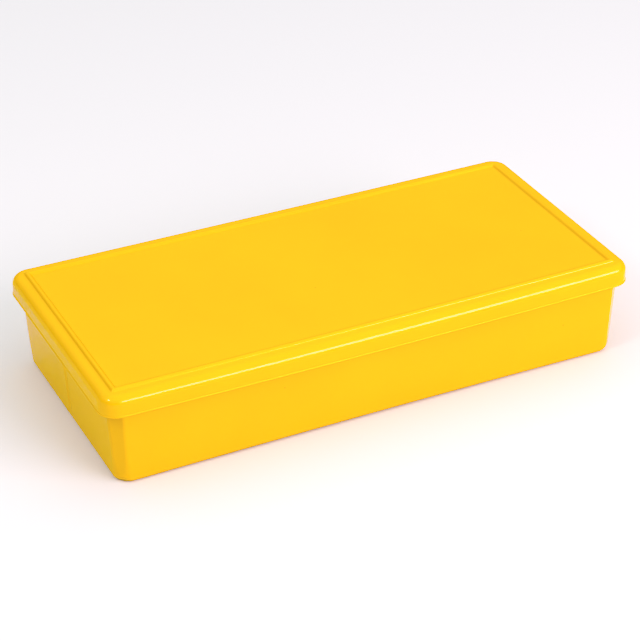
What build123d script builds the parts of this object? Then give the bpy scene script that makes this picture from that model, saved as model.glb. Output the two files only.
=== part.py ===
"""Pencil case: a drafted moulded tray with a lengthwise divider, under a lift-off lid with a deep skirt.

Millimetres. +X runs along the case, +Z is up, and the origin is under the middle of the tray, on the table.
"""

from build123d import *
import os
from math import radians, sqrt, tan

# Overall size: the lid's outline at the bottom of its skirt, and the height to the top of its bead.
LENGTH = 220.0
WIDTH = 104.0
HEIGHT = 40.4

# Lid.
LID_WALL = 1.7
LID_DRAFT = 1.5
LID_CORNER = 7.5
LID_EDGE_RADIUS = 3.0
SKIRT_DEPTH = 8.0
SKIRT_LIP_RADIUS = 0.6
SKIRT_MOUTH_RADIUS = 0.4

# Stacking bead: a low rounded line round the lid's flat panel, with mitred corners.
BEAD_WIDTH = 2.3
BEAD_HEIGHT = 0.9
BEAD_INSET = 6.6
BEAD_ROOT = 0.4

# Tray. Its outline is given at the table and grows upwards by the draft.
# Its upright corners are flat 45 degree facets, wider at the rim, with soft edges.
FOOT_LENGTH = 210.0
FOOT_WIDTH = 97.0
FOOT_FACET = 3.7
RIM_FACET = 4.7
FOOT_FACET_RADIUS = 3.0
RIM_FACET_RADIUS = 1.4
END_DRAFT = 3.2
SIDE_DRAFT = 1.4
TRAY_WALL = 1.8
FLOOR_THICKNESS = 1.8
FOOT_EDGE_RADIUS = 2.0
FLOOR_FILLET = 1.5

# Foot ring: the underside is recessed inside it, so that the tray stands on its edge.
FOOT_RING_WIDTH = 5.0
FOOT_RECESS = 0.6
FOOT_RECESS_CORNER = 3.0

# Rim flange: the band that centres the lid.
FLANGE_HEIGHT = 3.0
FLANGE_CLEARANCE = 0.35
RIM_OUTER_RADIUS = 1.2

# Divider, and the sink marks that it leaves in the outside of both end walls.
DIVIDER_TOP = 30.0
DIVIDER_THICKNESS = 1.6
DIVIDER_DRAFT = 0.5
DIVIDER_EDGE_RADIUS = 0.6
DIVIDER_FOOT_FILLET = 0.8
SINK_WIDTH = 3.5
SINK_DEPTH = 0.25
SINK_START = 4.0

# How far from a stated plane an edge may lie and still be picked out as being on it.
SLACK = 0.01

# Heights and half sizes that follow from the above.
LID_TOP = HEIGHT - BEAD_HEIGHT
SKIRT_BOTTOM = LID_TOP - SKIRT_DEPTH
RIM_TOP = LID_TOP - LID_WALL
FLOOR_TOP = FOOT_RECESS + FLOOR_THICKNESS
RIM_LENGTH = FOOT_LENGTH + 2 * RIM_TOP * tan(radians(END_DRAFT))
RIM_WIDTH = FOOT_WIDTH + 2 * RIM_TOP * tan(radians(SIDE_DRAFT))
LID_CAVITY_INSET = LID_WALL + SKIRT_DEPTH * tan(radians(LID_DRAFT))
FLANGE_INSET = LID_CAVITY_INSET + FLANGE_CLEARANCE


def tray_outline(height, inset):
    """The tray's outside at a height, taken in by an inset, as a rectangle with faceted corners."""
    share = height / RIM_TOP
    length = FOOT_LENGTH + share * (RIM_LENGTH - FOOT_LENGTH) - 2 * inset
    width = FOOT_WIDTH + share * (RIM_WIDTH - FOOT_WIDTH) - 2 * inset
    facet = FOOT_FACET + share * (RIM_FACET - FOOT_FACET) - inset * (2 - sqrt(2))
    radius = FOOT_FACET_RADIUS + share * (RIM_FACET_RADIUS - FOOT_FACET_RADIUS)
    with BuildSketch(Plane.XY.offset(height)) as outline:
        Rectangle(length, width)
        chamfer(outline.vertices(), facet)
        fillet(outline.vertices(), radius)
    return outline.sketch


def sink_cutter(side):
    """A long cylinder that grazes one end wall, deepest at the rim and gone near the foot."""
    radius = (SINK_WIDTH**2 / 4 + SINK_DEPTH**2) / (2 * SINK_DEPTH)
    slope = tan(radians(END_DRAFT))
    start_x = FOOT_LENGTH / 2 + SINK_START * slope + radius
    rim_x = RIM_LENGTH / 2 + radius - SINK_DEPTH
    start = Vector(side * start_x, 0, SINK_START)
    rim = Vector(side * rim_x, 0, RIM_TOP)
    with BuildPart(Plane(origin=start, z_dir=rim - start)) as cutter:
        Cylinder(radius, RIM_TOP, align=(Align.CENTER, Align.CENTER, Align.MIN))
    return cutter.part


def make_tray_block():
    """The tray's outside as a full block, with its lower edge rounded and both sink marks."""
    with BuildPart() as block:
        loft([tray_outline(0, 0), tray_outline(RIM_TOP, 0)], ruled=True)
        fillet(block.faces().sort_by(Axis.Z)[0].edges(), FOOT_EDGE_RADIUS)
        for side in (-1, 1):
            add(sink_cutter(side), mode=Mode.SUBTRACT)
    return block.part


def make_tray_cavity():
    """The space inside the tray, from the floor to the rim, with a rounded floor edge."""
    with BuildPart() as cavity:
        loft([tray_outline(FLOOR_TOP, TRAY_WALL), tray_outline(RIM_TOP, TRAY_WALL)], ruled=True)
        fillet(cavity.faces().sort_by(Axis.Z)[0].edges(), FLOOR_FILLET)
    return cavity.part


def make_flange():
    """The band round the rim that fills the lid's skirt up to a running clearance."""
    with BuildPart() as flange:
        with BuildSketch(Plane.XY.offset(RIM_TOP - FLANGE_HEIGHT)):
            RectangleRounded(LENGTH - 2 * FLANGE_INSET, WIDTH - 2 * FLANGE_INSET, LID_CORNER - FLANGE_INSET)
        extrude(amount=FLANGE_HEIGHT)
    return flange.part


def make_divider(block):
    """The drafted wall along the middle of the tray, trimmed to the tray's outside."""
    rise = DIVIDER_TOP - FLOOR_TOP
    top_half = DIVIDER_THICKNESS / 2
    foot_half = top_half + rise * tan(radians(DIVIDER_DRAFT))
    with BuildPart() as divider:
        with BuildSketch(Plane.YZ):
            with BuildLine():
                Polyline(
                    (-foot_half, FLOOR_TOP - FLOOR_THICKNESS / 2),
                    (-foot_half, FLOOR_TOP),
                    (-top_half, DIVIDER_TOP),
                    (top_half, DIVIDER_TOP),
                    (foot_half, FLOOR_TOP),
                    (foot_half, FLOOR_TOP - FLOOR_THICKNESS / 2),
                    close=True,
                )
            make_face()
        extrude(amount=LENGTH / 2, both=True)
        fillet(divider.faces().sort_by(Axis.Z)[-1].edges().filter_by(Axis.X), DIVIDER_EDGE_RADIUS)
        add(block, mode=Mode.INTERSECT)
    return divider.part


block = make_tray_block()
cavity = make_tray_cavity()
flange = make_flange()
divider = make_divider(block)

with BuildPart() as tray:
    add(block)
    add(flange)
    fillet(tray.faces().sort_by(Axis.Z)[-1].edges(), RIM_OUTER_RADIUS)
    add(cavity, mode=Mode.SUBTRACT)
    add(divider)
    long_edges = tray.edges().filter_by(Axis.X)
    floor_edges = long_edges.filter_by_position(Axis.Z, FLOOR_TOP - SLACK, FLOOR_TOP + SLACK)
    divider_foot = floor_edges.filter_by_position(Axis.Y, -DIVIDER_THICKNESS, DIVIDER_THICKNESS)
    fillet(divider_foot, DIVIDER_FOOT_FILLET)
    with BuildSketch():
        RectangleRounded(
            FOOT_LENGTH - 2 * FOOT_RING_WIDTH,
            FOOT_WIDTH - 2 * FOOT_RING_WIDTH,
            FOOT_RECESS_CORNER,
        )
    extrude(amount=FOOT_RECESS, mode=Mode.SUBTRACT)
tray.part.label = "tray"

with BuildPart() as lid:
    with BuildSketch(Plane.XY.offset(SKIRT_BOTTOM)):
        RectangleRounded(LENGTH, WIDTH, LID_CORNER)
    extrude(amount=SKIRT_DEPTH, taper=LID_DRAFT)
    fillet(lid.faces().sort_by(Axis.Z)[-1].edges(), LID_EDGE_RADIUS)
    offset(amount=-LID_WALL, openings=lid.faces().sort_by(Axis.Z)[0])
    mouth = lid.faces().sort_by(Axis.Z)[0]
    fillet(mouth.outer_wire().edges(), SKIRT_LIP_RADIUS)
    mouth = lid.faces().sort_by(Axis.Z)[0]
    fillet(mouth.inner_wires()[0].edges(), SKIRT_MOUTH_RADIUS)
    bead_x = LENGTH / 2 - BEAD_INSET
    bead_y = WIDTH / 2 - BEAD_INSET
    with BuildLine() as bead_path:
        Polyline(
            (0, -bead_y, LID_TOP),
            (bead_x, -bead_y, LID_TOP),
            (bead_x, bead_y, LID_TOP),
            (-bead_x, bead_y, LID_TOP),
            (-bead_x, -bead_y, LID_TOP),
            close=True,
        )
    with BuildSketch(Plane(origin=(0, -bead_y, LID_TOP), x_dir=(0, 1, 0), z_dir=(1, 0, 0))):
        with BuildLine():
            ThreePointArc((-BEAD_WIDTH / 2, 0), (0, BEAD_HEIGHT), (BEAD_WIDTH / 2, 0))
            Polyline(
                (BEAD_WIDTH / 2, 0),
                (BEAD_WIDTH / 2, -BEAD_ROOT),
                (-BEAD_WIDTH / 2, -BEAD_ROOT),
                (-BEAD_WIDTH / 2, 0),
            )
        make_face()
    sweep(path=bead_path.wire(), transition=Transition.RIGHT)
lid.part.label = "lid"

os.makedirs("parts", exist_ok=True)
for piece in (tray, lid):
    export_step(piece.part, f"parts/{piece.part.label}.step")
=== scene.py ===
"""Pencil case: the moulded tray and lift-off lid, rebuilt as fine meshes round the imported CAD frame."""
import math

import bpy
from mathutils import Matrix, Vector


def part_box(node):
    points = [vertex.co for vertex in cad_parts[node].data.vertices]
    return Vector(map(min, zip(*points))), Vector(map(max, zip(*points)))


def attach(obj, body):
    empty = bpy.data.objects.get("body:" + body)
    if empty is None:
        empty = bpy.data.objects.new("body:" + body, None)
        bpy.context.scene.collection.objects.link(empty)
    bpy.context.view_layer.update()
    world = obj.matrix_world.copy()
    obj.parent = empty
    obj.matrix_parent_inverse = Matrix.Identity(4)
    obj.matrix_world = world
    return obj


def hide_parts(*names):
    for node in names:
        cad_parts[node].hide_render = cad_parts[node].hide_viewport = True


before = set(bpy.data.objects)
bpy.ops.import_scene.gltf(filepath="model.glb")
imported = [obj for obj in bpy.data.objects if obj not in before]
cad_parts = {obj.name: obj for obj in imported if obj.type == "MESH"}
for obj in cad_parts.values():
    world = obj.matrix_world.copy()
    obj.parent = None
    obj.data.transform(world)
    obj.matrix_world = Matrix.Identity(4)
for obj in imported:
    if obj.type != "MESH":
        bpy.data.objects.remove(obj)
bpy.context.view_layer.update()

MM = 0.001

# ---------------------------------------------------------------- sizes
lid_low, lid_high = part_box("lid")
tray_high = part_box("tray")[1]

# Lid, as in the CAD model but for a softer top edge and a thin lip at the skirt's foot.
LID_HALF_X = lid_high.x
LID_HALF_Y = lid_high.y
SKIRT_BOTTOM = lid_low.z
BEAD_HEIGHT = 0.9 * MM
LID_TOP = lid_high.z - BEAD_HEIGHT
LID_WALL = 1.7 * MM
LID_CORNER = 7.5 * MM
LID_EDGE = 3.4 * MM
LIP_OUTER = 0.35 * MM
LIP_STAND = 0.20 * MM
LIP_INNER = 0.4 * MM
LID_SLOPE = math.tan(math.radians(1.5))
BEAD_HALF = 1.15 * MM
BEAD_INSET = 6.6 * MM
BEAD_FOOT = 0.25 * MM
BEAD_CORNER = 0.9 * MM
PANEL_CORNER = 0.15 * MM
PANEL_BORDER = (0.3 * MM, 1.0 * MM)

# Where loops stand between the skirt's foot and its top edge, and across the margin to the bead, as shares.
INNER_SKIRT_SHARES = (0.06, 0.5, 0.94)
OUTER_SKIRT_SHARES = (0.2, 0.4, 0.7, 0.95)
MARGIN_SHARES = (0.12, 0.5, 0.88)
# How the lip fades into the skirt: (share of LIP_STAND, height above the foot in lip radii).
LIP_FADE = ((0.0, 1.35), (0.3, 1.65), (0.75, 1.85), (1.0, 2.2))
# The bead's root curve: how far out and how high, as shares of BEAD_FOOT.
BEAD_ROOT = (0.4, 0.1)
BEAD_STEPS = 12

# Tray, as in the CAD model but for softer corners, and moved along by its play inside the lid.
FOOT_HALF_X = 105.0 * MM
FOOT_HALF_Y = 48.5 * MM
RIM_TOP = tray_high.z
END_SLOPE = math.tan(math.radians(3.2))
SIDE_SLOPE = math.tan(math.radians(1.4))
FOOT_FACET = 3.7 * MM
RIM_FACET = 4.7 * MM
FACET_ROUND = 2.0 * MM
FOOT_ROUND = 5.0 * MM
FOOT_ROUND_RANGE = (2.0 * MM, 12.0 * MM)
FOOT_CORNER_EDGE = 2.8 * MM
TRAY_PLAY = 0.35 * MM
FOOT_EDGE = 2.0 * MM
FOOT_RING = 5.0 * MM
FOOT_RECESS = 0.6 * MM
RECESS_CORNER = 3.0 * MM
TRAY_WALL = 1.8 * MM
FLOOR_TOP = 2.4 * MM
FLOOR_FILLET = 1.5 * MM
FLANGE_HEIGHT = 3.0 * MM
FLANGE_HALF_X = tray_high.x
FLANGE_HALF_Y = tray_high.y
FLANGE_CORNER = 5.24 * MM
FLANGE_EDGE = 1.2 * MM
# Loops up from the flange's foot, as (inset, height above it), and where its edge rounding is led into.
FLANGE_ROOT = ((0.2 * MM, 0.0), (0.05 * MM, 0.08 * MM), (0.0, 0.3 * MM))
FLANGE_LEAD = 0.2 * MM
RIM_INNER = 0.4 * MM
RIM_STEP = 0.1 * MM
DIVIDER_TOP = 30.0 * MM
DIVIDER_HALF = 0.8 * MM
DIVIDER_EDGE = 0.6 * MM
DIVIDER_SLOPE = math.tan(math.radians(0.5))
SHOULDER = DIVIDER_TOP - DIVIDER_EDGE
JUNCTION = 1.0 * MM
LEAST_JUNCTION = 0.3 * MM
LEAST_FACET = 0.5 * MM
LEAST_ROUND = 0.05 * MM
ROUND_PER_LEG = 1.6
ROUND_PER_INSET = 0.3
SINK_HALF = 1.35 * MM
SINK_DEPTH = 0.32 * MM
SINK_FADE = (3.5 * MM, 8.0 * MM)
SINK_TOP = 2 * MM
# The sink mark fades between these shares of the wall's thickness, so that it stays on the outside.
OUTSIDE_FROM = 0.6
OUTSIDE_TO = 0.1

# Loops round the underside's recess, from its floor out to the foot ring: (inset, share of its depth).
RECESS_LOOPS = (
    (6.2 * MM, 1.0),
    (5.4 * MM, 1.0),
    (5.15 * MM, 0.9),
    (5.02 * MM, 0.6),
    (5.0 * MM, 0.2),
    (4.9 * MM, 0.0),
    (4.6 * MM, 0.0),
)
# Heights of the loops up the outside walls and down the inside ones, closer together where the shape turns.
OUTER_LEVELS = tuple(
    z * MM for z in (5.0, 5.8, 6.8, 8.0, 9.5, 11.5, 15.0, 19.0, 23.0, 27.0, 30.5, 32.5, 33.6, 34.3)
)
INNER_LEVELS = tuple(z * MM for z in (37.0, 35.0, 32.5, 30.6))
COMPARTMENT_LEVELS = tuple(z * MM for z in (28.6, 26.0, 20.0, 12.0, 6.0, 4.3))

# Moulding warp at mid length: the lid and the rim sag, the tray's long walls draw in, its foot rises.
LID_SAG = 0.36 * MM
FRONT_SAG = 0.55 * MM
BACK_SAG = -0.20 * MM
RIM_SAG = 0.36 * MM
WALL_DRAW = 0.3 * MM
CAMBER = 0.45 * MM
# Where the sag of the lid's long edges starts and the wall's draw starts, and how much less the rim draws.
EDGE_SAG_START = 0.87
DRAW_START = 0.3
RIM_STIFFNESS = 0.6

# How finely each outline is divided.
SIDE_STEPS = 28
END_STEPS = 10
ARC_STEPS = 5
FACET_STEPS = 2
CORNER_STEPS = 2 * ARC_STEPS + FACET_STEPS
EDGE_STEPS = 10
DIVIDER_STEPS = 4
# A stretch of outline counts as running along an axis above this cosine.
STRAIGHT = 0.99


# ---------------------------------------------------------------- outlines
def quarter_turns(steps):
    """Angles from 0 to 90 degrees in even steps."""
    return [math.radians(90 * step / steps) for step in range(steps + 1)]


def divider_stations():
    """Where points stand across the divider's top, as (share of its half width, share of its edge height)."""
    right = []
    for turn in quarter_turns(DIVIDER_STEPS):
        right.append((1 - DIVIDER_EDGE / DIVIDER_HALF * (1 - math.cos(turn)), math.sin(turn)))
    flat = right[-1][0]
    right.append((flat / 2, 1.0))
    return right + [(0.0, 1.0)] + [(-share, rise) for share, rise in reversed(right)]


STATIONS = divider_stations()
BAND_HALF = DIVIDER_HALF + JUNCTION


def round_corner(radius):
    """Steps from an end wall to a long wall round a corner, as distances in from both walls."""
    turns = quarter_turns(CORNER_STEPS)
    return [(radius * (1 - math.cos(turn)), radius * (1 - math.sin(turn))) for turn in turns]


def facet_corner(leg, radius):
    """The same round a flat 45 degree corner facet with soft edges."""
    radius = max(radius, LEAST_ROUND)
    reach = radius * math.tan(math.radians(22.5))
    first = []
    for step in range(ARC_STEPS + 1):
        turn = math.radians(45 * step / ARC_STEPS)
        first.append((radius * (1 - math.cos(turn)), leg + reach - radius * math.sin(turn)))
    second = [(y, x) for x, y in reversed(first)]
    start, end = Vector(first[-1]), Vector(second[0])
    middle = [tuple(start.lerp(end, step / FACET_STEPS)) for step in range(1, FACET_STEPS)]
    return first + middle + second


def end_wall(half_x, straight):
    """Points up an end wall at +X, from the front corner to the back one, closer together by the divider."""
    outer = [straight + (BAND_HALF - straight) * step / END_STEPS for step in range(END_STEPS)]
    band = [BAND_HALF * station[0] for station in STATIONS]
    heights = [-y for y in outer] + [-y for y in band] + list(reversed(outer))
    return [(half_x, y) for y in heights]


def outline(half_x, half_y, corner):
    """One closed loop, anticlockwise from the front end of the +X wall."""
    straight_x = half_x - corner[-1][0]
    straight_y = half_y - corner[0][1]
    right = end_wall(half_x, straight_y)
    right_back = [(half_x - dx, half_y - dy) for dx, dy in corner[1:-1]]
    back = [(straight_x * (1 - 2 * step / SIDE_STEPS), half_y) for step in range(SIDE_STEPS + 1)]
    left_back = [(-half_x + dx, half_y - dy) for dx, dy in reversed(corner[1:-1])]
    half = right + right_back + back + left_back
    return half + [(-x, -y) for x, y in half]


END_POINTS = 2 * END_STEPS + len(STATIONS)
HALF_POINTS = END_POINTS + 2 * (CORNER_STEPS - 1) + SIDE_STEPS + 1


class Shell:
    """A mesh made of loops of points joined one to the next."""

    def __init__(self):
        self.verts = []
        self.faces = []

    def add(self, points):
        start = len(self.verts)
        self.verts.extend(points)
        return list(range(start, len(self.verts)))

    def loop(self, points, z):
        return self.add([(x, y, z) for x, y in points])

    def join(self, lower, upper):
        count = len(lower)
        for i in range(count):
            j = (i + 1) % count
            self.faces.append((lower[i], lower[j], upper[j], upper[i]))

    def cap(self, loop, sides, up):
        """Fills a flat loop with a grid between its straight sides and fans at its corners.

        sides gives (start, steps) of the right, back, left and front side.
        """
        runs = [[loop[(start + k) % len(loop)] for k in range(steps + 1)] for start, steps in sides]
        right, front = runs[0], runs[3]
        xs = [self.verts[v][0] for v in front]
        ys = [self.verts[v][1] for v in right]
        z = self.verts[loop[0]][2]
        grid = [self.add([(x, y, z) for y in ys]) for x in xs]
        made = []
        for i in range(len(xs) - 1):
            for j in range(len(ys) - 1):
                made.append((grid[i][j], grid[i + 1][j], grid[i + 1][j + 1], grid[i][j + 1]))
        rows = len(ys) - 1
        cols = len(xs) - 1
        edges = [
            [grid[cols][j] for j in range(rows + 1)],
            [grid[i][rows] for i in range(cols, -1, -1)],
            [grid[0][j] for j in range(rows, -1, -1)],
            [grid[i][0] for i in range(cols + 1)],
        ]
        for run, edge in zip(runs, edges):
            for k in range(len(run) - 1):
                made.append((edge[k], run[k], run[k + 1], edge[k + 1]))
        for side in range(4):
            start = sides[side][0] + sides[side][1]
            stop = sides[(side + 1) % 4][0]
            span = (stop - start) % len(loop)
            centre = edges[side][-1]
            for k in range(span):
                a = loop[(start + k) % len(loop)]
                b = loop[(start + k + 1) % len(loop)]
                made.append((centre, a, b))
        self.faces.extend(made if up else [tuple(reversed(face)) for face in made])

    def build(self, name, warp):
        mesh = bpy.data.meshes.new(name)
        mesh.from_pydata([warp(*point) for point in self.verts], [], self.faces)
        mesh.validate()
        mesh.shade_smooth()
        piece = bpy.data.objects.new(name, mesh)
        bpy.context.scene.collection.objects.link(piece)
        normals = piece.modifiers.new("weighted_normals", "WEIGHTED_NORMAL")
        normals.keep_sharp = True
        return piece


# The straight sides of a whole loop and of a compartment's loop, as (start, steps), for Shell.cap.
FULL_SIDES = [
    (0, END_POINTS - 1),
    (END_POINTS + CORNER_STEPS - 1, SIDE_STEPS),
    (HALF_POINTS, END_POINTS - 1),
    (HALF_POINTS + END_POINTS + CORNER_STEPS - 1, SIDE_STEPS),
]
COMPARTMENT_SIDES = [
    (END_STEPS + 2 * CORNER_STEPS + SIDE_STEPS, END_STEPS),
    (2 * END_STEPS + 2 * CORNER_STEPS + SIDE_STEPS + DIVIDER_STEPS, SIDE_STEPS),
    (0, END_STEPS),
    (END_STEPS + CORNER_STEPS, SIDE_STEPS),
]


def mid_length(x, half):
    """1 at mid length, falling to 0 at both ends."""
    return max(0.0, 1 - (x / half) ** 2)


def ease(value, low, high):
    share = min(1.0, max(0.0, (value - low) / (high - low)))
    return share * share * (3 - 2 * share)


# ---------------------------------------------------------------- lid
def lid_outline(inset, corner):
    return outline(LID_HALF_X - inset, LID_HALF_Y - inset, round_corner(corner))


def lid_loop(shell, inset, z):
    """A loop round the lid at an inset from its widest outline, with the skirt's draft."""
    lean = inset + max(0.0, z - SKIRT_BOTTOM - LIP_OUTER) * LID_SLOPE
    return shell.loop(lid_outline(lean, LID_CORNER - lean), z)


def edge_sag(y):
    """How much more than its middle the lid sags at a long edge."""
    at_edge = ease(abs(y), LID_HALF_Y * EDGE_SAG_START, LID_HALF_Y)
    return (FRONT_SAG if y < 0 else BACK_SAG) * at_edge


def lid_warp(x, y, z):
    sag = mid_length(x, LID_HALF_X)
    return x, y, z - sag * (LID_SAG + edge_sag(y))


def make_lid():
    """Inside of the lid, skirt, lip, rounded edge, margin, bead and panel, in that order."""
    shell = Shell()
    edge_foot = LID_TOP - LID_EDGE
    loops = lid_inside(shell) + lid_skirt(shell, edge_foot)
    lean = LIP_STAND + (edge_foot - SKIRT_BOTTOM) * LID_SLOPE
    for turn in quarter_turns(2 * EDGE_STEPS):
        inset = lean + LID_EDGE * (1 - math.cos(turn))
        z = edge_foot + LID_EDGE * math.sin(turn)
        loops.append(shell.loop(lid_outline(inset, LID_CORNER - inset), z))
    loops += lid_panel(shell, lean + LID_EDGE)
    for lower, upper in zip(loops, loops[1:]):
        shell.join(lower, upper)
    shell.cap(loops[0], FULL_SIDES, up=False)
    shell.cap(loops[-1], FULL_SIDES, up=True)
    return shell.build("lid_shell", lid_warp)


def lid_inside(shell):
    """From the underside of the top, round the inner edge and down to the skirt's foot."""
    under = LID_TOP - LID_WALL
    inner_edge = LID_EDGE - LID_WALL
    low = SKIRT_BOTTOM + LIP_INNER
    top = under - inner_edge
    loops = []
    for turn in quarter_turns(EDGE_STEPS):
        inset = LID_WALL + inner_edge * (1 - math.sin(turn))
        loops.append(lid_loop(shell, inset, under - inner_edge * (1 - math.cos(turn))))
    for share in INNER_SKIRT_SHARES:
        loops.append(lid_loop(shell, LID_WALL, top + (low - top) * share))
    return loops


def lid_skirt(shell, edge_foot):
    """Round the skirt's foot and up its outside, with the lip that stands out along it."""
    loops = []
    for turn in quarter_turns(EDGE_STEPS // 2):
        inset = LID_WALL - LIP_INNER * (1 - math.cos(turn))
        loops.append(lid_loop(shell, inset, SKIRT_BOTTOM + LIP_INNER * (1 - math.sin(turn))))
    for turn in quarter_turns(EDGE_STEPS // 2):
        inset = LIP_OUTER * (1 - math.sin(turn))
        loops.append(lid_loop(shell, inset, SKIRT_BOTTOM + LIP_OUTER * (1 - math.cos(turn))))
    for share, radii in LIP_FADE:
        loops.append(lid_loop(shell, LIP_STAND * share, SKIRT_BOTTOM + LIP_OUTER * radii))
    low = SKIRT_BOTTOM + LIP_OUTER
    for share in OUTER_SKIRT_SHARES:
        loops.append(lid_loop(shell, LIP_STAND, low + (edge_foot - low) * share))
    return loops


def lid_panel(shell, edge_inset):
    """The margin inside the rounded edge, the bead with its tighter corners, and the panel's border."""
    loops = []
    bead_reach = BEAD_HALF + BEAD_FOOT
    bead_start = BEAD_INSET - bead_reach
    edge_corner = LID_CORNER - edge_inset
    for share in MARGIN_SHARES:
        inset = edge_inset + (bead_start - edge_inset) * share
        corner = edge_corner + (BEAD_CORNER - edge_corner) * share
        loops.append(shell.loop(lid_outline(inset, corner), LID_TOP))
    for offset, rise in bead_profile():
        share = (offset + bead_reach) / (2 * bead_reach)
        corner = BEAD_CORNER + (PANEL_CORNER - BEAD_CORNER) * share
        loops.append(shell.loop(lid_outline(BEAD_INSET + offset, corner), LID_TOP + rise))
    for border in PANEL_BORDER:
        loops.append(shell.loop(lid_outline(BEAD_INSET + bead_reach + border, PANEL_CORNER), LID_TOP))
    return loops


def bead_profile():
    """Across the bead from outside to inside: (offset from its middle line, height)."""
    radius = (BEAD_HALF**2 + BEAD_HEIGHT**2) / (2 * BEAD_HEIGHT)
    steepest = math.asin(BEAD_HALF / radius)
    root_out, root_up = [share * BEAD_FOOT for share in BEAD_ROOT]
    points = [(-BEAD_HALF - BEAD_FOOT, 0.0), (-BEAD_HALF - root_out, root_up)]
    for step in range(1, BEAD_STEPS):
        turn = steepest * (2 * step / BEAD_STEPS - 1)
        points.append((radius * math.sin(turn), BEAD_HEIGHT - radius * (1 - math.cos(turn))))
    return points + [(BEAD_HALF + root_out, root_up), (BEAD_HALF + BEAD_FOOT, 0.0)]


# ---------------------------------------------------------------- tray
def tray_half(z, inset):
    return FOOT_HALF_X + z * END_SLOPE - inset, FOOT_HALF_Y + z * SIDE_SLOPE - inset


def tray_corner(z, inset):
    """The facet at a height, narrower and sharper further in, and rounder close to the foot."""
    leg = FOOT_FACET + (RIM_FACET - FOOT_FACET) * z / RIM_TOP - inset * (2 - math.sqrt(2))
    radius = FOOT_ROUND + (FACET_ROUND - FOOT_ROUND) * ease(z, *FOOT_ROUND_RANGE)
    return facet_corner(max(leg, LEAST_FACET), min(radius, ROUND_PER_LEG * leg) - ROUND_PER_INSET * inset)


def tray_loop(shell, z, inset=0.0):
    half_x, half_y = tray_half(z, inset)
    return shell.loop(outline(half_x, half_y, tray_corner(z, inset)), z)


def sink_depth(x, y, z):
    """How deep the divider's sink mark is at a point of the end walls."""
    if abs(x) <= FOOT_HALF_X - TRAY_WALL or z <= FOOT_EDGE:
        return 0.0
    wall_x = FOOT_HALF_X + z * END_SLOPE
    flange_foot = RIM_TOP - FLANGE_HEIGHT
    outside = ease(abs(x), wall_x - OUTSIDE_FROM * TRAY_WALL, wall_x - OUTSIDE_TO * TRAY_WALL)
    across = max(0.0, 1 - (y / SINK_HALF) ** 2)
    along = ease(z, *SINK_FADE) * (1 - ease(z, flange_foot - SINK_TOP, flange_foot))
    return SINK_DEPTH * outside * across * along


def tray_warp(x, y, z):
    sag = mid_length(x, FLANGE_HALF_X)
    height = z / RIM_TOP
    at_wall = ease(abs(y), DRAW_START * FOOT_HALF_Y, FOOT_HALF_Y)
    draw = WALL_DRAW * sag * (1 - RIM_STIFFNESS * height) * at_wall
    lift = sag * (CAMBER * (1 - height) - (RIM_SAG + edge_sag(y)) * height**2)
    return x - math.copysign(sink_depth(x, y, z), x) + TRAY_PLAY, y - math.copysign(draw, y), z + lift


def corner_share(index):
    """0 along a wall, rising to 1 at the middle of a corner."""
    place = index % HALF_POINTS
    for start in (END_POINTS - 1, END_POINTS + CORNER_STEPS - 1 + SIDE_STEPS):
        if start < place < start + CORNER_STEPS:
            return math.sin(math.pi * (place - start) / CORNER_STEPS)
    return 0.0


def foot_loop(shell, turn):
    """A loop part way round the foot's rounded edge, which is larger at the corners."""
    points = []
    wall = outline(*tray_half(0, 0), tray_corner(0, 0))
    count = len(wall)
    for index, (x, y) in enumerate(wall):
        ahead, behind = Vector(wall[(index + 1) % count]), Vector(wall[index - 1])
        along = (ahead - behind).normalized()
        radius = FOOT_EDGE + (FOOT_CORNER_EDGE - FOOT_EDGE) * corner_share(index)
        inset = radius * (1 - math.sin(turn))
        z = radius * (1 - math.cos(turn))
        x += math.copysign(z * END_SLOPE, x) if abs(along.x) < STRAIGHT else 0.0
        y += math.copysign(z * SIDE_SLOPE, y) if abs(along.y) < STRAIGHT else 0.0
        points.append((x - along.y * inset, y + along.x * inset, z))
    return shell.add(points)


def compartment(z, inset):
    """The front compartment's outline, anticlockwise from the divider end of the left wall."""
    half_x, half_y = tray_half(z, TRAY_WALL + inset)
    corner = tray_corner(z, TRAY_WALL + inset)
    full = outline(half_x, half_y, corner)
    band = len(STATIONS)
    wrap = len(full)
    start = HALF_POINTS + END_STEPS + band - 1
    stop = wrap + END_STEPS
    walls = [full[k % wrap] for k in range(start, stop + 1)]
    side_y = DIVIDER_HALF + (DIVIDER_TOP - z) * DIVIDER_SLOPE + inset
    radius = max(JUNCTION - inset / 2, LEAST_JUNCTION)
    walls[0] = (walls[0][0], -side_y - radius)
    walls[-1] = (walls[-1][0], -side_y - radius)
    return walls + divider_side(half_x, side_y, radius)


def divider_side(half_x, side_y, radius):
    """Points along the divider's front side from right to left, with both end fillets, walls left out."""
    arc = []
    for turn in quarter_turns(DIVIDER_STEPS)[1:]:
        arc.append((half_x - radius * (1 - math.cos(turn)), -side_y - radius * (1 - math.sin(turn))))
    straight = half_x - radius
    run = [(straight * (1 - 2 * step / SIDE_STEPS), -side_y) for step in range(1, SIDE_STEPS)]
    return arc + run + [(-x, y) for x, y in reversed(arc)]


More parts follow.
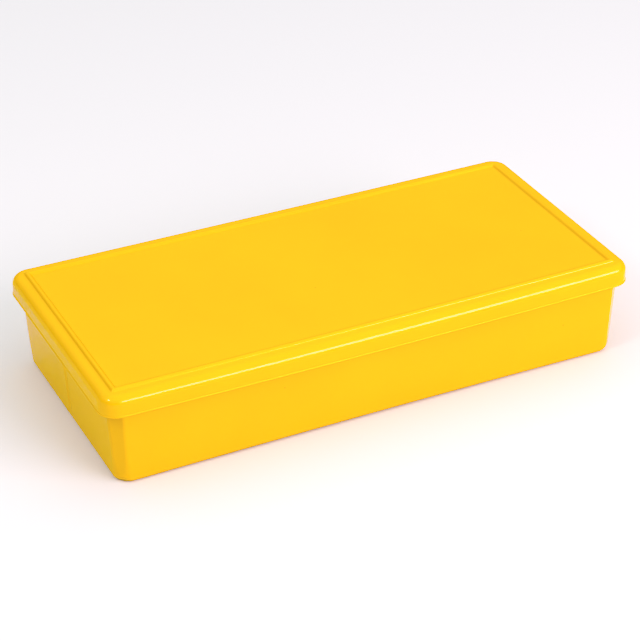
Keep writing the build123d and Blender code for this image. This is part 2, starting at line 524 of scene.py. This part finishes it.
def make_tray():
    """Underside, foot ring, outside wall, flange and rim, then the inside down to both floors."""
    shell = Shell()
    loops = recess_loops(shell)
    for turn in quarter_turns(EDGE_STEPS):
        loops.append(foot_loop(shell, turn))
    for z in OUTER_LEVELS:
        loops.append(tray_loop(shell, z))
    loops += rim_loops(shell)
    for z in INNER_LEVELS:
        loops.append(tray_loop(shell, z, TRAY_WALL))
    loops.append(divider_rise(shell))
    for lower, upper in zip(loops, loops[1:]):
        shell.join(lower, upper)
    shell.cap(loops[0], FULL_SIDES, up=False)
    divider = divider_top(shell, loops[-1])
    add_compartment(shell, loops[-1], divider, front=True)
    add_compartment(shell, loops[-1], divider, front=False)
    return shell.build("tray_shell", tray_warp)


def recess_loops(shell):
    """The recess in the underside, out to the foot ring."""
    half_x, half_y = tray_half(0, 0)
    loops = []
    for inset, share in RECESS_LOOPS:
        corner = round_corner(RECESS_CORNER + FOOT_RING - inset)
        loops.append(shell.loop(outline(half_x - inset, half_y - inset, corner), share * FOOT_RECESS))
    return loops


def rim_loops(shell):
    """From the foot of the flange over the rim to its inner edge."""
    flange_foot = RIM_TOP - FLANGE_HEIGHT
    edge_foot = RIM_TOP - FLANGE_EDGE
    band = [(inset, flange_foot + height) for inset, height in FLANGE_ROOT]
    band.append((0.0, edge_foot - FLANGE_LEAD))
    for turn in quarter_turns(EDGE_STEPS):
        band.append((FLANGE_EDGE * (1 - math.cos(turn)), edge_foot + FLANGE_EDGE * math.sin(turn)))
    loops = [tray_loop(shell, flange_foot - RIM_STEP, -RIM_STEP)]
    for inset, z in band:
        corner = round_corner(FLANGE_CORNER - inset)
        loops.append(shell.loop(outline(FLANGE_HALF_X - inset, FLANGE_HALF_Y - inset, corner), z))
    loops.append(tray_loop(shell, RIM_TOP, TRAY_WALL - RIM_INNER - RIM_STEP))
    for turn in quarter_turns(EDGE_STEPS // 2):
        inset = TRAY_WALL - RIM_INNER * (1 - math.sin(turn))
        loops.append(tray_loop(shell, RIM_TOP - RIM_INNER * (1 - math.cos(turn)), inset))
    return loops


def divider_rise(shell):
    """The last whole loop, which rises over the divider's rounded top at both end walls."""
    half_x, half_y = tray_half(SHOULDER, TRAY_WALL)
    points = []
    for index, (x, y) in enumerate(outline(half_x, half_y, tray_corner(SHOULDER, TRAY_WALL))):
        station = index % HALF_POINTS - END_STEPS
        rise = STATIONS[station][1] * DIVIDER_EDGE if 0 <= station < len(STATIONS) else 0.0
        points.append((x + math.copysign(rise * END_SLOPE, x), y, SHOULDER + rise))
    return shell.add(points)


def divider_top(shell, rim):
    """The divider's rounded top, as columns of points across it from the right end wall to the left one."""
    band = len(STATIONS)
    half_x = tray_half(SHOULDER, TRAY_WALL)[0]
    side_y = DIVIDER_HALF + DIVIDER_EDGE * DIVIDER_SLOPE
    columns = [rim[END_STEPS:END_STEPS + band]]
    for x, y in divider_side(half_x, side_y, JUNCTION):
        column = [(x, y * share, SHOULDER + rise * DIVIDER_EDGE) for share, rise in STATIONS]
        columns.append(shell.add(column))
    left = HALF_POINTS + END_STEPS
    columns.append(rim[left:left + band][::-1])
    for near, far in zip(columns, columns[1:]):
        for k in range(band - 1):
            shell.faces.append((near[k], near[k + 1], far[k + 1], far[k]))
    return columns[1:-1]


def add_compartment(shell, rim, divider, front):
    """The space in front of the divider or behind it, hung from the last whole loop."""
    band = len(STATIONS)
    first, last = HALF_POINTS + END_STEPS + band - 1, len(rim) + END_STEPS
    edge = [column[0] for column in divider]
    side = 1
    if not front:
        first, last = first - HALF_POINTS, last - HALF_POINTS
        edge = [column[-1] for column in reversed(divider)]
        side = -1
    loops = [[rim[k % len(rim)] for k in range(first, last + 1)] + edge]
    levels = [(z, 0.0) for z in COMPARTMENT_LEVELS]
    for turn in quarter_turns(EDGE_STEPS):
        levels.append((FLOOR_TOP + FLOOR_FILLET * (1 - math.sin(turn)), FLOOR_FILLET * (1 - math.cos(turn))))
    for z, inset in levels:
        loops.append(shell.loop([(side * x, side * y) for x, y in compartment(z, inset)], z))
    for lower, upper in zip(loops, loops[1:]):
        shell.join(lower, upper)
    shell.cap(loops[-1], COMPARTMENT_SIDES, up=True)


# ---------------------------------------------------------------- material
SUBSURFACE_RADIUS = (1.0, 0.55, 0.08)
LIGHT_YELLOW = (0.94, 0.518, 0.005, 1)
DEEP_YELLOW = (0.895, 0.490, 0.003, 1)
SPECK_BROWN = (0.60, 0.31, 0.01, 1)
# Where each moulding's pattern starts, so that the two don't match.
TRAY_PATTERN = (0.31, 0.12, 0.05)
LID_PATTERN = (0.77, 0.43, 0.21)
BLACK = (0, 0, 0, 1)
WHITE = (1, 1, 1, 1)


class Plastic:
    """Moulded polypropylene: soft gloss, a fine grain, faint flow tone, scuffs and a few specks."""

    def __init__(self, name, start):
        self.material = bpy.data.materials.new(name)
        self.material.use_nodes = True
        self.nodes = self.material.node_tree.nodes
        self.links = self.material.node_tree.links
        self.place = self.nodes.new("ShaderNodeTexCoord")
        self.start = start
        self.even = self.mapping()
        shader = self.nodes["Principled BSDF"]
        shader.inputs["IOR"].default_value = 1.49
        shader.inputs["Subsurface Weight"].default_value = 0.05
        shader.inputs["Subsurface Radius"].default_value = SUBSURFACE_RADIUS
        shader.inputs["Subsurface Scale"].default_value = 0.5 * MM
        self.links.new(self.colour(), shader.inputs["Base Color"])
        self.links.new(self.roughness(), shader.inputs["Roughness"])
        self.links.new(self.surface(), shader.inputs["Normal"])

    def mapping(self, turn=0.0, stretch=(1, 1, 1)):
        node = self.nodes.new("ShaderNodeMapping")
        node.inputs["Location"].default_value = self.start
        node.inputs["Rotation"].default_value = (0, 0, math.radians(turn))
        node.inputs["Scale"].default_value = stretch
        self.links.new(self.place.outputs["Object"], node.inputs["Vector"])
        return node

    def noise(self, scale, detail, roughness=0.5, mapping=None):
        node = self.nodes.new("ShaderNodeTexNoise")
        node.inputs["Scale"].default_value = scale
        node.inputs["Detail"].default_value = detail
        node.inputs["Roughness"].default_value = roughness
        self.links.new((mapping or self.even).outputs["Vector"], node.inputs["Vector"])
        return node.outputs["Fac"]

    def ramp(self, source, start, end):
        node = self.nodes.new("ShaderNodeValToRGB")
        first, second = node.color_ramp.elements
        first.position, first.color = start
        second.position, second.color = end
        self.links.new(source, node.inputs["Fac"])
        return node.outputs["Color"]

    def bump(self, source, strength, distance, under=None):
        node = self.nodes.new("ShaderNodeBump")
        node.inputs["Strength"].default_value = strength
        node.inputs["Distance"].default_value = distance
        self.links.new(source, node.inputs["Height"])
        if under:
            self.links.new(under, node.inputs["Normal"])
        return node.outputs["Normal"]

    def colour(self):
        """Broad flow tone with small dark moulding specks."""
        tone = self.ramp(self.noise(scale=22, detail=3), (0.3, DEEP_YELLOW), (0.7, LIGHT_YELLOW))
        cells = self.nodes.new("ShaderNodeTexVoronoi")
        cells.inputs["Scale"].default_value = 90
        self.links.new(self.even.outputs["Vector"], cells.inputs["Vector"])
        speck = self.ramp(cells.outputs["Distance"], (0.015, WHITE), (0.032, BLACK))
        marked = self.nodes.new("ShaderNodeMix")
        marked.data_type = "RGBA"
        self.links.new(speck, marked.inputs["Factor"])
        self.links.new(tone, marked.inputs["A"])
        marked.inputs["B"].default_value = SPECK_BROWN
        return marked.outputs["Result"]

    def roughness(self):
        """Uneven gloss with fine scuffs, drawn out roughly along the case."""
        sheen = self.nodes.new("ShaderNodeMapRange")
        sheen.inputs["From Min"].default_value = 0.3
        sheen.inputs["From Max"].default_value = 0.7
        sheen.inputs["To Min"].default_value = 0.17
        sheen.inputs["To Max"].default_value = 0.21
        self.links.new(self.noise(scale=70, detail=4), sheen.inputs["Value"])
        streak = self.mapping(turn=12, stretch=(0.05, 1, 1))
        scuffs = self.ramp(self.noise(scale=700, detail=2, mapping=streak), (0.70, BLACK), (0.78, WHITE))
        rough = self.nodes.new("ShaderNodeMath")
        rough.operation = "MULTIPLY_ADD"
        rough.inputs[1].default_value = 0.02
        self.links.new(scuffs, rough.inputs[0])
        self.links.new(sheen.outputs["Result"], rough.inputs[2])
        return rough.outputs["Value"]

    def surface(self):
        """Slight ripple of the moulding under a fine grain."""
        ripple = self.bump(self.noise(scale=110, detail=2), 0.12, 0.06 * MM)
        return self.bump(self.noise(scale=1500, detail=2, roughness=0.6), 0.35, 0.012 * MM, ripple)


# ---------------------------------------------------------------- scene
# The photograph's view: angles in degrees, lens in millimetres, places in metres.
AZIMUTH = -25.91
ELEVATION = 31.41
ROLL = -0.19
DISTANCE = 0.8311
LENS = 120.32
SENSOR = 36
SHIFT = (0.0038, 0.0006)
TARGET = Vector((-0.0043, -0.0060, 0.0200))

LIGHT_DISTANCE = 1.2
FLOOR_REACH = 6.0
FLOOR_SHADE = (0.82, 0.82, 0.82, 1)
FLOOR_ROUGHNESS = 0.9
# The sky's strength rises with height, between these values of the direction's Z.
SKY_HEIGHTS = (-0.1, 1.0)
SKY_STRENGTHS = (0.05, 1.13)
# How the view shows blue light, as (light, shown): weaker in the deep yellow, true in highlights and white.
BLUE_CURVE = ((0.05, 0.015), (0.14, 0.028), (0.18, 0.08), (0.22, 0.17), (0.29, 0.29), (0.6, 0.61))


def direction(azimuth, elevation):
    """Unit vector towards a compass angle from the front (-Y) and a height, both in degrees."""
    azimuth, elevation = math.radians(azimuth), math.radians(elevation)
    level = math.cos(elevation)
    return Vector((math.sin(azimuth) * level, -math.cos(azimuth) * level, math.sin(elevation)))


def facing_back(place, back):
    """A transform at a place, with local +Z along back, for a camera or a light."""
    return Matrix.Translation(place) @ back.to_track_quat("Z", "Y").to_matrix().to_4x4()


def add_object(name, data):
    thing = bpy.data.objects.new(name, data)
    bpy.context.scene.collection.objects.link(thing)
    return thing


def add_camera():
    data = bpy.data.cameras.new("camera")
    data.lens = LENS
    data.sensor_width = SENSOR
    data.shift_x, data.shift_y = SHIFT
    camera = add_object("camera", data)
    back = direction(AZIMUTH, ELEVATION)
    roll = Matrix.Rotation(math.radians(ROLL), 4, "Z")
    camera.matrix_world = facing_back(TARGET + back * DISTANCE, back) @ roll
    bpy.context.scene.camera = camera


def add_light(name, azimuth, elevation, width, height, power, colour=(1, 1, 1)):
    """A softbox that faces the case."""
    data = bpy.data.lights.new(name, "AREA")
    data.shape = "RECTANGLE"
    data.size = width
    data.size_y = height
    data.energy = power
    data.color = colour
    back = direction(azimuth, elevation)
    add_object(name, data).matrix_world = facing_back(back * LIGHT_DISTANCE, back)


def add_floor():
    mesh = bpy.data.meshes.new("floor")
    corners = [(x * FLOOR_REACH, y * FLOOR_REACH, 0) for x, y in ((-1, -1), (1, -1), (1, 1), (-1, 1))]
    mesh.from_pydata(corners, [], [(0, 1, 2, 3)])
    material = bpy.data.materials.new("floor")
    material.use_nodes = True
    shader = material.node_tree.nodes["Principled BSDF"]
    shader.inputs["Base Color"].default_value = FLOOR_SHADE
    shader.inputs["Roughness"].default_value = FLOOR_ROUGHNESS
    mesh.materials.append(material)
    add_object("floor", mesh)


def add_sky():
    world = bpy.data.worlds.new("studio")
    bpy.context.scene.world = world
    world.use_nodes = True
    nodes, links = world.node_tree.nodes, world.node_tree.links
    background = nodes["Background"]
    background.inputs["Color"].default_value = WHITE
    place = nodes.new("ShaderNodeTexCoord")
    split = nodes.new("ShaderNodeSeparateXYZ")
    rise = nodes.new("ShaderNodeMapRange")
    rise.interpolation_type = "SMOOTHERSTEP"
    rise.inputs["From Min"].default_value, rise.inputs["From Max"].default_value = SKY_HEIGHTS
    rise.inputs["To Min"].default_value, rise.inputs["To Max"].default_value = SKY_STRENGTHS
    links.new(place.outputs["Generated"], split.inputs["Vector"])
    links.new(split.outputs["Z"], rise.inputs["Value"])
    links.new(rise.outputs["Result"], background.inputs["Strength"])


def set_view():
    view = bpy.context.scene.view_settings
    view.view_transform = "Standard"
    view.use_curve_mapping = True
    # The four curves are red, green, blue and combined.
    blue = view.curve_mapping.curves[2]
    for light, shown in BLUE_CURVE:
        blue.points.new(light, shown)
    view.curve_mapping.update()


for piece, node, start in (
    (make_tray(), "tray", TRAY_PATTERN),
    (make_lid(), "lid", LID_PATTERN),
):
    slot = node + "_plastic"
    piece.data.materials.append(Plastic(slot, start).material)
    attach(piece, node)
    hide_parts(node)

add_camera()
add_floor()
add_sky()
add_light("key_right", azimuth=30, elevation=28, width=0.95, height=0.50, power=10.0, colour=(1.0, 0.85, 1.0))
add_light("key_left", azimuth=-74, elevation=46, width=0.20, height=0.20, power=2.1)
set_view()
